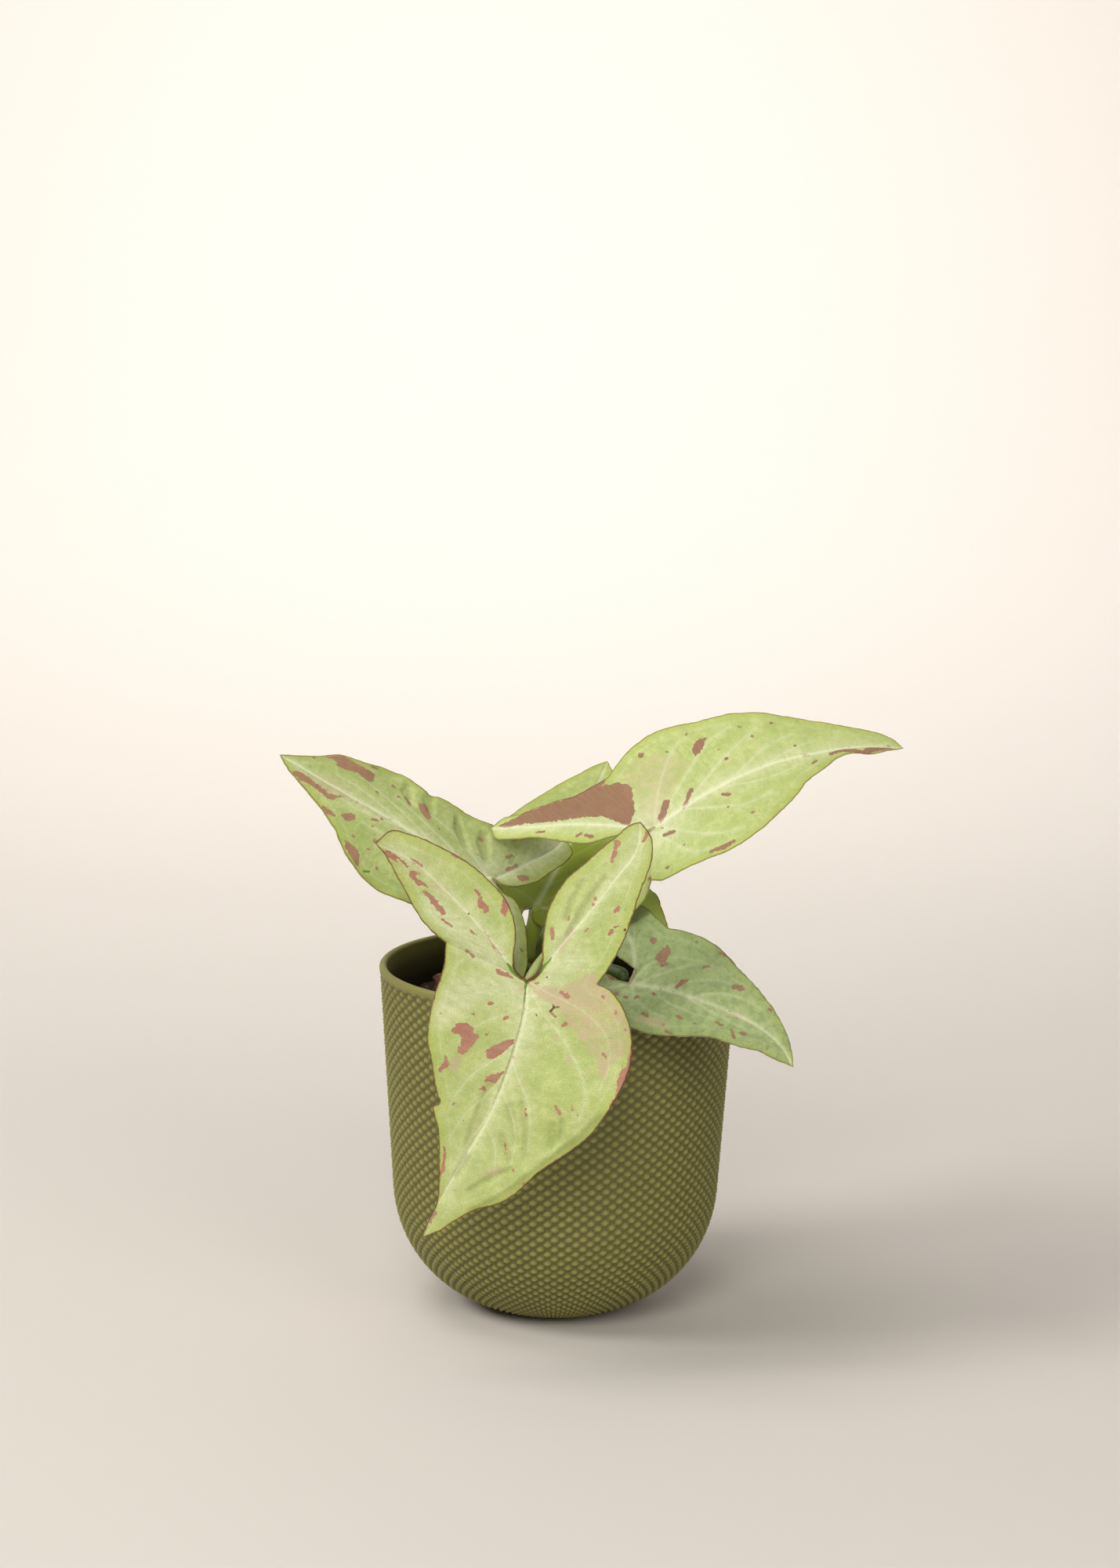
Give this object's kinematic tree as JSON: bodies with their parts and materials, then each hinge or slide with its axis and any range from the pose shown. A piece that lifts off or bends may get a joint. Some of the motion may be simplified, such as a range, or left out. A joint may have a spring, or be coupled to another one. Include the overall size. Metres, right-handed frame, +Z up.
{
  "type": "potted arrowhead plant",
  "caption": "Young arrowhead plant: pale green arrow-shaped leaves with dusty pink patches on curved stalks, in a round-bottomed olive cover pot filled with soil.",
  "frame": {"origin": "centre of the pot's flat underside", "axes": "+Z up along the pot's axis; -Y towards the side that the big hanging leaf faces; +X to the right when seen from that side"},
  "size_m": [0.2428, 0.2032, 0.2347],
  "materials": {
    "pot": "matte",
    "soil": "matte",
    "bark": "matte",
    "stalk": "satin",
    "leaf": "matte"
  },
  "bodies": {
    "root": {"pot": "pot", "soil": "soil", "bark_chip": "bark", "stem": "stalk", "petiole_front": "stalk", "petiole_upper_right": "stalk", "petiole_upper_left": "stalk", "petiole_back": "stalk", "petiole_lower_right": "stalk", "leaf_front": "leaf", "leaf_upper_right": "leaf", "leaf_upper_left": "leaf", "leaf_back": "leaf", "leaf_lower_right": "leaf"}
  },
  "joints": []
}
